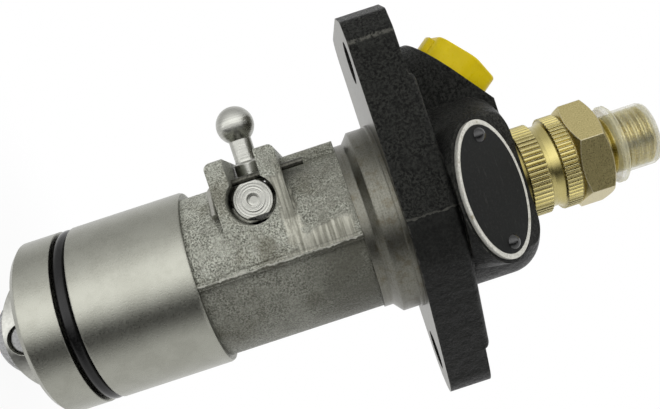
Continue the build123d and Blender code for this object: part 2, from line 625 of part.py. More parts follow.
def control_sleeve():
    """Toothed sleeve that turns the plunger by its two lugs."""
    half_face = SECTOR_FACE / 2
    sector_low = ROD_HEIGHT - half_face
    sleeve = disc(SECTOR_ROOT_RADIUS, sector_low, ROD_HEIGHT + half_face)
    side_teeth = int(SECTOR_SPAN * SECTOR_TEETH / 360)
    for i in range(-side_teeth, side_teeth + 1):
        sleeve += Pos(0, 0, sector_low) * extrude(tooth_outline(i), SECTOR_FACE)
    sleeve += disc(CONTROL_SLEEVE_TUBE, CONTROL_SLEEVE_BOTTOM, CONTROL_SLEEVE_TOP)
    collar_low = UPPER_SEAT_TOP + SEAT_FIT
    sleeve += disc(SECTOR_ROOT_RADIUS, collar_low, collar_low + CONTROL_SLEEVE_COLLAR)
    low = CONTROL_SLEEVE_BOTTOM - BEYOND
    sleeve -= disc(BARREL_RADIUS + RUNNING_FIT, low, CONTROL_SLEEVE_TOP + BEYOND)
    slot_top = PLUNGER_LUG_BOTTOM + PLUNGER_LUG_HEIGHT + TAPPET_LIFT + PLAY
    half_slot = PLUNGER_LUG_WIDTH / 2 + SEAT_FIT
    reach = SECTOR_TIP_RADIUS
    return sleeve - block(-half_slot, half_slot, -reach, reach, low, slot_top)


# ---- Pumping element ----
def pump_barrel():
    barrel = disc(BARREL_COLLAR_RADIUS, BARREL_SHOULDER, BARREL_TOP)
    barrel += disc(BARREL_RADIUS, BARREL_BOTTOM, BARREL_SHOULDER)
    barrel -= disc(PLUNGER_RADIUS + RUNNING_FIT, BARREL_BOTTOM - BEYOND, BARREL_TOP + BEYOND)
    reach = BARREL_COLLAR_RADIUS + BEYOND
    barrel -= bar(PORT_RADIUS, (-reach, 0, 0), (reach, 0, 0))
    half = LOCATING_PIN_RADIUS + SEAT_FIT
    floor = BARREL_COLLAR_RADIUS - LOCATING_GROOVE_DEPTH
    return barrel - block(-half, half, floor, reach, LOCATING_PIN_HEIGHT - half, BARREL_TOP + BEYOND)


def pump_plunger():
    """Plunger with its slanted control edge, stop groove, two driving lugs and foot."""
    shank_low = PLUNGER_LUG_BOTTOM
    foot_low = FOOT_FLOOR + SEAT_FIT
    foot_high = SEAT_LEDGE - SEAT_FIT
    plunger = disc(PLUNGER_RADIUS, shank_low, PLUNGER_TOP)
    plunger += disc(PLUNGER_NECK_RADIUS, foot_low, shank_low)
    plunger += disc(PLUNGER_FOOT_RADIUS, foot_low, foot_high)
    lugs = block(
        -PLUNGER_LUG_WIDTH / 2, PLUNGER_LUG_WIDTH / 2, -PLUNGER_LUG_REACH, PLUNGER_LUG_REACH,
        shank_low, shank_low + PLUNGER_LUG_HEIGHT,
    )
    plunger += lugs & disc(PLUNGER_LUG_REACH, shank_low, PLUNGER_TOP)
    half = STOP_GROOVE_WIDTH / 2
    floor = PLUNGER_RADIUS - STOP_GROOVE_DEPTH
    outside = PLUNGER_RADIUS + BEYOND
    groove = block(-half, half, floor, outside, PLUNGER_TOP - CONTROL_EDGE_DROP, PLUNGER_TOP + BEYOND)
    slant = Box(4 * PLUNGER_RADIUS, 2 * STOP_GROOVE_DEPTH, CONTROL_EDGE_WIDTH)
    place = Pos(0, PLUNGER_RADIUS, PLUNGER_TOP - CONTROL_EDGE_DROP) * Rot(0, CONTROL_EDGE_SLOPE, 0)
    return plunger - groove - place * slant


# ---- Tappet group ----
def roller_tappet():
    """Cup with a forked end for the roller."""
    tappet = disc(TAPPET_RADIUS, TAPPET_BOTTOM, TAPPET_TOP)
    end_centre = TAPPET_BOTTOM + TAPPET_END_RADIUS
    far = TAPPET_RADIUS + BEYOND
    tappet &= (
        bar(TAPPET_END_RADIUS, (0, -far, end_centre), (0, far, end_centre))
        + disc(far, end_centre, TAPPET_TOP)
    )
    tappet -= disc(TAPPET_CUP_RADIUS, SEAT_LEDGE, TAPPET_TOP + BEYOND)
    tappet -= disc(PLUNGER_FOOT_RADIUS + PLAY, FOOT_FLOOR, SEAT_LEDGE + BEYOND)
    pocket = ROLLER_RADIUS + PLAY
    half = ROLLER_HALF_WIDTH + PLAY
    tappet -= roller_bar(pocket, half)
    tappet -= block(-pocket, pocket, -half, half, TAPPET_BOTTOM - BEYOND, ROLLER_AXIS)
    tappet -= roller_bar(ROLLER_PIN_RADIUS + SEAT_FIT, far)
    half_slot = GUIDE_PIN_RADIUS + RUNNING_FIT
    slot_high = GUIDE_PIN_HEIGHT + half_slot
    slot_low = GUIDE_PIN_HEIGHT - TAPPET_LIFT - half_slot
    slot_floor = GUIDE_PIN_REACH - PLAY
    return tappet - block(-half_slot, half_slot, slot_floor, far, slot_low, slot_high)


def roller_bar(radius, half):
    """Round bar on the roller's axis."""
    return bar(radius, (0, -half, ROLLER_AXIS), (0, half, ROLLER_AXIS))


def tappet_roller():
    roller = roller_bar(ROLLER_RADIUS, ROLLER_HALF_WIDTH)
    roller = chamfer(roller.edges().filter_by(GeomType.CIRCLE), ROLLER_EDGE)
    return roller - roller_bar(ROLLER_BUSH_RADIUS + SEAT_FIT, ROLLER_HALF_WIDTH + BEYOND)


def roller_bush():
    bush = roller_bar(ROLLER_BUSH_RADIUS, ROLLER_HALF_WIDTH)
    return bush - roller_bar(ROLLER_PIN_RADIUS + RUNNING_FIT, ROLLER_HALF_WIDTH + BEYOND)


def roller_pin():
    pin = roller_bar(ROLLER_PIN_RADIUS, ROLLER_PIN_END)
    return chamfer(pin.edges().filter_by(GeomType.CIRCLE), EDGE_BREAK)


def lower_spring_seat():
    """Slotted plate that the plunger's neck slides into from the side."""
    outer = TAPPET_CUP_RADIUS - PLAY
    seat = ring(outer, PLUNGER_NECK_RADIUS + PLAY, SEAT_LEDGE, SPRING_LOW)
    half = PLUNGER_NECK_RADIUS + PLAY
    return seat - block(0, outer + BEYOND, -half, half, SEAT_LEDGE - BEYOND, SPRING_LOW + BEYOND)


def upper_spring_seat():
    """Ring under the housing's shoulder, with a short spigot inside the spring."""
    inner = CONTROL_SLEEVE_TUBE + PLAY / 2
    return ring(SPRING_CHAMBER_RADIUS - SEAT_FIT, inner, SPRING_HIGH, UPPER_SEAT_TOP)


def plunger_spring():
    return coil(SPRING_WIRE, SPRING_MEAN_RADIUS, SPRING_LOW, SPRING_HIGH, SPRING_TURNS)


# ---- Delivery valve ----
def delivery_valve_seat():
    flange_top = BARREL_TOP + VALVE_SEAT_FLANGE
    seat = disc(BARREL_COLLAR_RADIUS, BARREL_TOP, flange_top)
    seat += disc(VALVE_SEAT_RADIUS, flange_top, VALVE_SEAT_TOP)
    return seat - disc(VALVE_BORE_RADIUS + RUNNING_FIT, BARREL_TOP - BEYOND, VALVE_SEAT_TOP + BEYOND)


def delivery_valve_cone():
    """Valve with a fluted guide stem, a flat-backed head and a spring spigot."""
    stem = disc(VALVE_BORE_RADIUS, VALVE_SEAT_TOP - VALVE_STEM_LENGTH, VALVE_SEAT_TOP)
    flute_middle = VALVE_SEAT_TOP - VALVE_STEM_LENGTH / 2 - VALVE_GUIDE_LAND
    flute = Pos(VALVE_FLUTE_PLACE, 0, flute_middle) * Cylinder(VALVE_FLUTE_RADIUS, VALVE_STEM_LENGTH)
    for i in range(VALVE_FLUTES):
        stem -= Rot(0, 0, 360 * (i + 0.5) / VALVE_FLUTES) * flute
    spigot_low = VALVE_SEAT_TOP + VALVE_HEAD_HEIGHT
    head = turned(
        (0, VALVE_SEAT_TOP),
        (VALVE_HEAD_RADIUS, VALVE_SEAT_TOP),
        (VALVE_HEAD_RADIUS, VALVE_SEAT_TOP + VALVE_HEAD_HEIGHT / 2),
        (VALVE_SPRING_MEAN_RADIUS + VALVE_SPRING_WIRE, spigot_low),
        (0, spigot_low),
    )
    spigot_radius = VALVE_SPRING_MEAN_RADIUS - VALVE_SPRING_WIRE / 2 - PLAY / 2
    return stem + head + disc(spigot_radius, spigot_low, spigot_low + VALVE_SPIGOT_HEIGHT)


def valve_gasket():
    low = BARREL_TOP + VALVE_SEAT_FLANGE
    return ring(BARREL_COLLAR_RADIUS, GASKET_INNER_RADIUS, low, low + GASKET_THICKNESS)


def filler_piece():
    """Spring guide that fills the holder's dead volume."""
    low = HOLDER_CAVITY_TOP - FILLER_HEAD_HEIGHT
    filler = disc(FILLER_RADIUS, low, HOLDER_CAVITY_TOP)
    filler += disc(FILLER_STEM_RADIUS, low - FILLER_STEM_LENGTH, low)
    return filler - disc(FILLER_BORE_RADIUS, low - FILLER_STEM_LENGTH - BEYOND, HOLDER_CAVITY_TOP + BEYOND)


def delivery_valve_spring():
    low = VALVE_SEAT_TOP + VALVE_HEAD_HEIGHT
    high = HOLDER_CAVITY_TOP - FILLER_HEAD_HEIGHT
    return coil(VALVE_SPRING_WIRE, VALVE_SPRING_MEAN_RADIUS, low, high, VALVE_SPRING_TURNS)


# ---- Delivery valve holder ----
def knurl(radius, teeth, low, length):
    """Ring of straight ridges, each a third rise, a third top and a third fall."""
    floor = radius - KNURL_DEPTH
    corners = []
    for i in range(3 * teeth):
        angle = 2 * pi * i / (3 * teeth)
        r = floor if i % 3 == 0 else radius
        corners.append((r * cos(angle), r * sin(angle)))
    return Pos(0, 0, low) * extrude(make_face(Polyline(*corners, close=True)), length)


def holder_hexagon():
    corner = HEX_ACROSS_FLATS / 2 / cos(pi / 6)
    turn = -90 - HEX_TURN
    prism = Pos(0, 0, HEX_LOW) * Rot(0, 0, turn) * extrude(RegularPolygon(corner, 6), HEX_HEIGHT)
    bevel = corner - HEX_ACROSS_FLATS / 2 + HEX_BEVEL_PAST_FLAT
    rise = bevel * tan(radians(HEX_BEVEL_ANGLE))
    trim = turned(
        (0, HEX_LOW), (corner - bevel, HEX_LOW), (corner, HEX_LOW + rise),
        (corner, HEX_HIGH - rise), (corner - bevel, HEX_HIGH), (0, HEX_HIGH),
    )
    return prism & trim


def nipple_thread():
    """Thread crests as rings on the nipple."""
    root = NIPPLE_THREAD_RADIUS - NIPPLE_THREAD_DEPTH
    half_flat = NIPPLE_CREST / 2
    points = [
        (0, HEX_HIGH - BEYOND),
        (NIPPLE_NECK_RADIUS, HEX_HIGH - BEYOND),
        (NIPPLE_NECK_RADIUS, HEX_HIGH + NIPPLE_NECK / 2),
        (root, NIPPLE_LOW - half_flat),
    ]
    for i in range(NIPPLE_THREADS):
        z = NIPPLE_LOW + i * NIPPLE_THREAD_PITCH
        crest = z + NIPPLE_THREAD_PITCH / 2
        points.append((root, z + half_flat))
        points.append((NIPPLE_THREAD_RADIUS, crest - half_flat))
        points.append((NIPPLE_THREAD_RADIUS, crest + half_flat))
        points.append((root, z + NIPPLE_THREAD_PITCH - half_flat))
    points += [(root - NIPPLE_END_CHAMFER, NIPPLE_END), (0, NIPPLE_END)]
    return turned(*points)


def delivery_valve_holder():
    waist_low = LOWER_KNURL + LOWER_KNURL_LENGTH
    shoulder = UPPER_KNURL + UPPER_KNURL_LENGTH
    hex_core = HEX_ACROSS_FLATS / 2 - EDGE_BREAK
    holder = turned(
        (0, HOLDER_BOTTOM),
        (HOLDER_THREAD_RADIUS - HOLDER_LEAD_IN, HOLDER_BOTTOM),
        (HOLDER_THREAD_RADIUS, HOLDER_BOTTOM + HOLDER_LEAD_IN),
        (HOLDER_THREAD_RADIUS, BODY_TOP + SEAT_FIT),
        (HOLDER_NECK_RADIUS, BODY_TOP + SEAT_FIT),
        (HOLDER_NECK_RADIUS, LOWER_KNURL),
        (LOWER_KNURL_RADIUS - KNURL_DEPTH, LOWER_KNURL),
        (LOWER_KNURL_RADIUS - KNURL_DEPTH, waist_low),
        (WAIST_RADIUS + WAIST_FLARE, waist_low + WAIST_FLARE),
        (WAIST_RADIUS, waist_low + WAIST_CURVE),
        (WAIST_RADIUS, UPPER_KNURL - WAIST_CURVE),
        (WAIST_RADIUS + WAIST_FLARE, UPPER_KNURL - WAIST_FLARE),
        (UPPER_KNURL_RADIUS - KNURL_DEPTH, UPPER_KNURL),
        (UPPER_KNURL_RADIUS - KNURL_DEPTH, shoulder),
        (hex_core, HEX_LOW),
        (hex_core, HEX_LOW + BEYOND),
        (0, HEX_LOW + BEYOND),
    )
    holder += knurl(LOWER_KNURL_RADIUS, LOWER_KNURL_TEETH, LOWER_KNURL, LOWER_KNURL_LENGTH)
    holder += knurl(UPPER_KNURL_RADIUS, UPPER_KNURL_TEETH, UPPER_KNURL, UPPER_KNURL_LENGTH)
    holder += holder_hexagon()
    holder += nipple_thread()
    holder -= disc(HOLDER_CAVITY_RADIUS, HOLDER_BOTTOM - BEYOND, HOLDER_CAVITY_TOP)
    holder -= disc(NIPPLE_BORE_RADIUS, HOLDER_CAVITY_TOP - BEYOND, NIPPLE_END)
    cone_depth = NIPPLE_CONE_RADIUS / tan(radians(NIPPLE_CONE_ANGLE))
    return holder - turned((0, NIPPLE_END), (NIPPLE_CONE_RADIUS, NIPPLE_END), (0, NIPPLE_END - cone_depth))


# ---- Caps and name plate ----
def inlet_cap():
    """Hollow push-in plug with a hexagonal grip and a lifting tab."""
    corner = INLET_CAP_ACROSS / 2 / cos(pi / 6)
    head = Rot(0, 0, INLET_CAP_TURN) * extrude(RegularPolygon(corner, 6), INLET_CAP_HEIGHT)
    head = fillet(head.edges().filter_by(Axis.Z), INLET_CAP_CORNER)
    head = fillet(head.faces().sort_by(Axis.Z)[-1].edges(), INLET_CAP_EDGE)
    tab = Pos(0, 0, INLET_CAP_TAB_HEIGHT / 2) * Cylinder(INLET_CAP_TAB_REACH, INLET_CAP_TAB_HEIGHT)
    tab &= block(-INLET_CAP_TAB_HALF, INLET_CAP_TAB_HALF, 0, 2 * INLET_CAP_TAB_REACH, 0, INLET_CAP_HEIGHT)
    plug = INLET_THREAD_RADIUS - SEAT_FIT
    cap = head + tab + Pos(0, 0, -INLET_CAP_PLUG / 2) * Cylinder(plug, INLET_CAP_PLUG)
    hollow = INLET_CAP_PLUG + INLET_CAP_HEIGHT - INLET_CAP_WALL
    cap -= Pos(0, 0, hollow / 2 - INLET_CAP_PLUG) * Cylinder(plug - INLET_CAP_WALL, hollow)
    return INLET_PLANE * Pos(0, 0, SEAT_FIT) * cap


def thread_cap():
    """Thin push-on cap with a beaded rim."""
    inner = NIPPLE_THREAD_RADIUS + SEAT_FIT
    outer = inner + THREAD_CAP_WALL
    low = HEX_HIGH + THREAD_CAP_GAP
    ceiling = NIPPLE_END + SEAT_FIT
    high = ceiling + THREAD_CAP_END
    rim_high = low + THREAD_CAP_RIM
    return turned(
        (inner, low),
        (THREAD_CAP_RIM_RADIUS - EDGE_BREAK, low),
        (THREAD_CAP_RIM_RADIUS, low + EDGE_BREAK),
        (THREAD_CAP_RIM_RADIUS, rim_high - EDGE_BREAK),
        (THREAD_CAP_RIM_RADIUS - EDGE_BREAK, rim_high),
        (outer, rim_high + EDGE_BREAK),
        (outer, high - THREAD_CAP_ROUND),
        (outer - THREAD_CAP_ROUND / 3, high - THREAD_CAP_ROUND / 3),
        (outer - THREAD_CAP_ROUND, high),
        (0, high),
        (0, ceiling),
        (inner, ceiling),
    )


def name_plate():
    """Bare oval plate."""
    plate = extrude(PLATE_SEAT * Ellipse(PLATE_HALF_LENGTH, PLATE_HALF_WIDTH), PLATE_THICKNESS)
    for x, y in rivet_places():
        hole = PLATE_SEAT * Pos(x, y) * Circle(RIVET_SHANK_RADIUS + SEAT_FIT)
        plate -= extrude(hole, PLATE_THICKNESS)
    return plate


def plate_rivets():
    rivets = []
    cup = (RIVET_HEAD_RADIUS**2 + RIVET_HEAD_HEIGHT**2) / (2 * RIVET_HEAD_HEIGHT)
    for x, y in rivet_places():
        place = PLATE_PLANE * Pos(x, y)
        head = Pos(0, 0, RIVET_HEAD_HEIGHT - cup) * Sphere(cup)
        head &= Pos(0, 0, cup / 2) * Box(4 * cup, 4 * cup, cup)
        length = RIVET_SHANK_DEPTH + PLATE_THICKNESS - SEAT_FIT
        shank = Pos(0, 0, -length / 2) * Cylinder(RIVET_SHANK_RADIUS, length)
        rivets.append(place * (head + shank))
    return Compound(children=rivets)


PIECES = [
    pump_housing, pilot_o_ring, barrel_locating_pin, tappet_guide_pin,
    control_rod, ball_stud, rod_lock_wire, control_sleeve,
    pump_barrel, pump_plunger,
    roller_tappet, tappet_roller, roller_bush, roller_pin,
    lower_spring_seat, upper_spring_seat, plunger_spring,
    delivery_valve_seat, delivery_valve_cone, valve_gasket, filler_piece,
    delivery_valve_spring, delivery_valve_holder,
    inlet_cap, thread_cap, name_plate, plate_rivets,
]

os.makedirs("parts", exist_ok=True)
for make in PIECES:
    export_step(make(), f"parts/{make.__name__}.step")
    print(make.__name__)
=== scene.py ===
import json
from math import cos, pi, radians, sin

import bpy
from mathutils import Matrix, Vector


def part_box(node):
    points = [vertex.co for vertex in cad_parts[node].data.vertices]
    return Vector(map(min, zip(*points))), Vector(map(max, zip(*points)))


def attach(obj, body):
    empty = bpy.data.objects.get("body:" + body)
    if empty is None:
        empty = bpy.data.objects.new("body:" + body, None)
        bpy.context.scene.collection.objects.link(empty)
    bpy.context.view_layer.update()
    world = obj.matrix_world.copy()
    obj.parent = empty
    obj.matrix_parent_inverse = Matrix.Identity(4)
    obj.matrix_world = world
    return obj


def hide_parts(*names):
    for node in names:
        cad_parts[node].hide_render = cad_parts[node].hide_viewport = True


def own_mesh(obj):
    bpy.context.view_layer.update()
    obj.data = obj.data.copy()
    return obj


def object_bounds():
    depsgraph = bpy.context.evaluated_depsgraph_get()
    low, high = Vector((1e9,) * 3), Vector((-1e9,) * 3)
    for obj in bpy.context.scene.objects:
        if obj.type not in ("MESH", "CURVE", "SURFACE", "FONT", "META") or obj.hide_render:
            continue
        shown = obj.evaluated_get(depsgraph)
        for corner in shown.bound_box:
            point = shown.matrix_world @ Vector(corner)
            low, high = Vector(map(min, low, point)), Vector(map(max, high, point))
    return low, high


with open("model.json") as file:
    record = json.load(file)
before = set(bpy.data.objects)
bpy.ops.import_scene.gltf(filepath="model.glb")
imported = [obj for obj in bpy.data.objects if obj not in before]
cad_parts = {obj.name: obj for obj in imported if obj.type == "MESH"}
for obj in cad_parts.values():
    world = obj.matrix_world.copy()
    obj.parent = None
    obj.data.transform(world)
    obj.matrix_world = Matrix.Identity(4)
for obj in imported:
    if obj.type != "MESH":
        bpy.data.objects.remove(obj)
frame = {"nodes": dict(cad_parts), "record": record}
cad_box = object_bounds()
NODES = frame["nodes"]
MM = 0.001

# ---- Camera: the pump lies rolled across the picture, its delivery end to the right ----
CAMERA_PLACE = (-6.15 * MM, -171.2 * MM, -12.1 * MM)
CAMERA_ROLL = radians(18.15)
FOCAL_PIXELS = 835.0
PICTURE_WIDTH = 660.0
SENSOR = 36.0
NEAREST = 5 * MM

# ---- Places on the housing, in millimetres ----
SLEEVE_TOP = -40.2              # ground guide sleeve below this height
NECK_TOP = -8.0                 # cast neck below this height, turned pilot above it
FACE = 0.3                      # the mounting face is looked for this close to height 0
PAINT_START = (-0.06, -0.04)    # paint above this height
TAPPET_BORE = 13.6              # everything nearer the axis is bored, below the flange
VALVE_BORE = 8.1                # and above it
SEAM = 1.0                      # the mould seam runs at this X
SEAM_FRONT = (-14, -16)         # on the paint its painted highlight shows in front of this Y
SEAM_TOP = (11, 10)             # and below this height
BY_PILOT = (-22.0, -13.0)       # painted shade with some brown staining darkens the casting between these heights towards the pilot
BELOW_SEAM = (-26.0, -12.0)     # painted shade darkens its side past the seam, more so towards the second of these heights
CREASE = -33.0                  # X of the corner between two cast flats of the flange, where a highlight line is painted
CREASE_HALF = 0.28              # half its width
CREASE_FRONT = (-15, -16)       # it shows in front of this Y
ROD_END = (-11.6, -25.8)        # X and Z of the control rod's axis
ROD_CENTRE = (0.75, 1.0)        # radius of the drilled centre in its end
WIRE_LEG = -32.5                # the lock wire's bent leg lies below this height

# ---- Ground patches on the neck, in millimetres ----
FOOT_X = (-14.5, -0.8)          # the patch at the foot of the rod boss
FOOT_Z = (-21.4, -18.2)
STRIP_Z = (-23.5, -9.0)         # the strip along the seam
STRIP_EDGE_Z = (-24.0, -14.0)   # the strip widens between these heights
STRIP_EDGE_X = (0.2, -3.6)      # from this X to this X
PATCH_FRONT = (-12.0, -13.0)    # both patches lie in front of this Y

# ---- Places on the delivery valve holder and its cap, in millimetres ----
WAIST = (30.2, 33.2)            # from Z to Z, between the two knurled rings
HEXAGON = (36.6, 43.2)
KNURL_CREST = 9.4               # outer radius of the lower ring
CAP_RIM = 47.0                  # the thread cap's rim lies below this height
CAP_END = 54.5

# ---- The name plate ----
PLATE_TILT = radians(52.0)
PLATE_THICKNESS = 0.8           # millimetres
PLATE_RIM = (0.922, 0.934)      # the rim starts at this share of the oval

# ---- What metal and glass see round the pump, by angle from the front, -X at 90 degrees: the white
# ---- backdrop (1), a soft box in front on the -X side and a dark card on the +X side ----
STUDIO = (
    (-180, 1.0), (-64, 1.0), (-42, 0.35), (-32, 0.02), (-16, 0.10), (2, 1.50),
    (14, 2.20), (38, 2.00), (66, 1.05), (104, 0.70), (140, 1.0), (180, 1.0),
)
AMBIENT = 0.60                  # the world's light on matt surfaces

# ---- Lamps: name, place, width and height in metres, power in watts ----
LAMPS = (
    ("key", (-0.45, -0.55, -0.15), (0.5, 0.5), 3.2),
    ("fill", (0.60, -0.30, 0.25), (0.4, 0.8), 0.6),
    ("back", (0.10, 0.70, 0.35), (0.7, 0.5), 1.4),
    ("top", (-0.10, 0.05, 0.75), (0.5, 0.5), 1.0),
)
LAMP_AIM = (0, 0, -12 * MM)

# ---- Floor ----
FLOOR_SIZE = 6.0                # metres
FLOOR_GAP = 0.1 * MM
SHADOW_REACH = (25, 80)         # the shadow fades out between these distances from the axis, in mm
SHADOW_KEPT = 0.93              # white's share over the shadow's middle


def tone(red, green=None, blue=None):
    """Linear colour, grey if only one value is given."""
    green = red if green is None else green
    blue = red if blue is None else blue
    return (red, green, blue, 1.0)


# ---- Colours of the bare casting ----
# grain tone of the iron, with painted shade in its hollows and painted light on its crests
CAST_HOLLOW_SHADE = tone(0.118, 0.120, 0.098)
CAST_CREST_LIGHT = tone(0.610, 0.620, 0.540)
CAST_PALE = tone(0.480, 0.487, 0.425)
CAST_DULL = tone(0.120, 0.117, 0.094)
CAST_RUST = tone(0.130, 0.118, 0.075)
# painted shade towards the pilot, with some brown staining
CAST_SHADE_BY_PILOT = tone(0.150, 0.146, 0.118)
# painted shade on the side past the seam
CAST_SHADE_PAST_SEAM = tone(0.070, 0.069, 0.056)
# painted shade in inside corners
CAST_CORNER_SHADE = tone(0.045, 0.043, 0.033)
# painted shadow under the seam
SEAM_SHADOW = tone(0.040, 0.039, 0.031)
SEAM_FLASH = tone(0.520, 0.515, 0.460)
WHEEL_MARK = tone(0.130, 0.127, 0.103)
WHEEL_LAND = tone(0.300, 0.295, 0.250)
CAST_METAL = 0.9
CAST_RELIEF = 0.26              # millimetres

# ---- Colours of the paint and of the machined zones ----
PAINT_BLACK = tone(0.0020, 0.0022, 0.0018)
# painted light on the crests of the paint's relief
PAINT_CREST_LIGHT = tone(0.042, 0.043, 0.038)
PAINT_GLINT = tone(0.075, 0.076, 0.066)
# painted shade in inside corners
PAINT_CORNER_SHADE = tone(0.0015)
PAINT_CLOUD = tone(0.028, 0.029, 0.026)
# bare metal where the paint is chipped, also used for painted highlight lines along the seam and a crease
PAINT_WEAR_AND_HIGHLIGHT = tone(0.180, 0.178, 0.155)
SLEEVE_DARK = tone(0.285, 0.285, 0.248)
SLEEVE_LIGHT = tone(0.325, 0.325, 0.282)
SLEEVE_CLOUD = tone(0.355, 0.356, 0.312)
PILOT_DARK = tone(0.102, 0.100, 0.083)
PILOT_LIGHT = tone(0.142, 0.140, 0.119)
PILOT_GRAIN = tone(0.210, 0.208, 0.178)
PILOT_STAIN = tone(0.085, 0.070, 0.042)
# painted shade in inside corners
PILOT_CORNER_SHADE = tone(0.050, 0.045, 0.033)

# ---- Colours of the other metals, in pairs that are mixed by noise ----
GROUND_STEEL = (tone(0.45, 0.45, 0.415), tone(0.38, 0.38, 0.35))
HARDENED_STEEL = (tone(0.36), tone(0.26))
SPRING_STEEL = (tone(0.17), tone(0.09))
COPPER = (tone(0.60, 0.31, 0.19), tone(0.42, 0.21, 0.13))
BRONZE = (tone(0.48, 0.35, 0.16), tone(0.34, 0.25, 0.11))
# painted shade on most of the wire, painted light on the leg beside the ear
WIRE_SHADED = (tone(0.040, 0.039, 0.032), tone(0.110, 0.108, 0.092))
WIRE_LIT = (tone(0.340, 0.337, 0.300), tone(0.460, 0.456, 0.415))
ZINC = (tone(0.50, 0.43, 0.180), tone(0.42, 0.36, 0.140))
# painted shade in the knurl's grooves
ZINC_GROOVE_SHADE = tone(0.110, 0.085, 0.022)
ZINC_GRAIN = (tone(0.400, 0.340, 0.145), tone(0.600, 0.515, 0.250))
ZINC_EDGE = tone(0.74, 0.69, 0.52)

# ---- Colours of rubber, plastic and the plate ----
RUBBER = (tone(0.003), tone(0.009))
YELLOW = (tone(0.84, 0.645, 0.004), tone(0.74, 0.555, 0.003))
# painted highlight on the cap's corners
YELLOW_EDGE_HIGHLIGHT = tone(0.88, 0.76, 0.05)
MILKY = (tone(0.80, 0.775, 0.57), tone(0.68, 0.655, 0.45))
ENAMEL = (tone(0.0035, 0.0040, 0.0035), tone(0.0110, 0.0120, 0.0105))
ENAMEL_SCUFF = tone(0.060, 0.060, 0.055)
RIM = (tone(0.68, 0.67, 0.61), tone(0.50, 0.49, 0.44))
RIM_TARNISH = tone(0.26, 0.22, 0.13)
RIVET = (tone(0.005), tone(0.026))
FLOOR = (tone(0.82), tone(0.86))


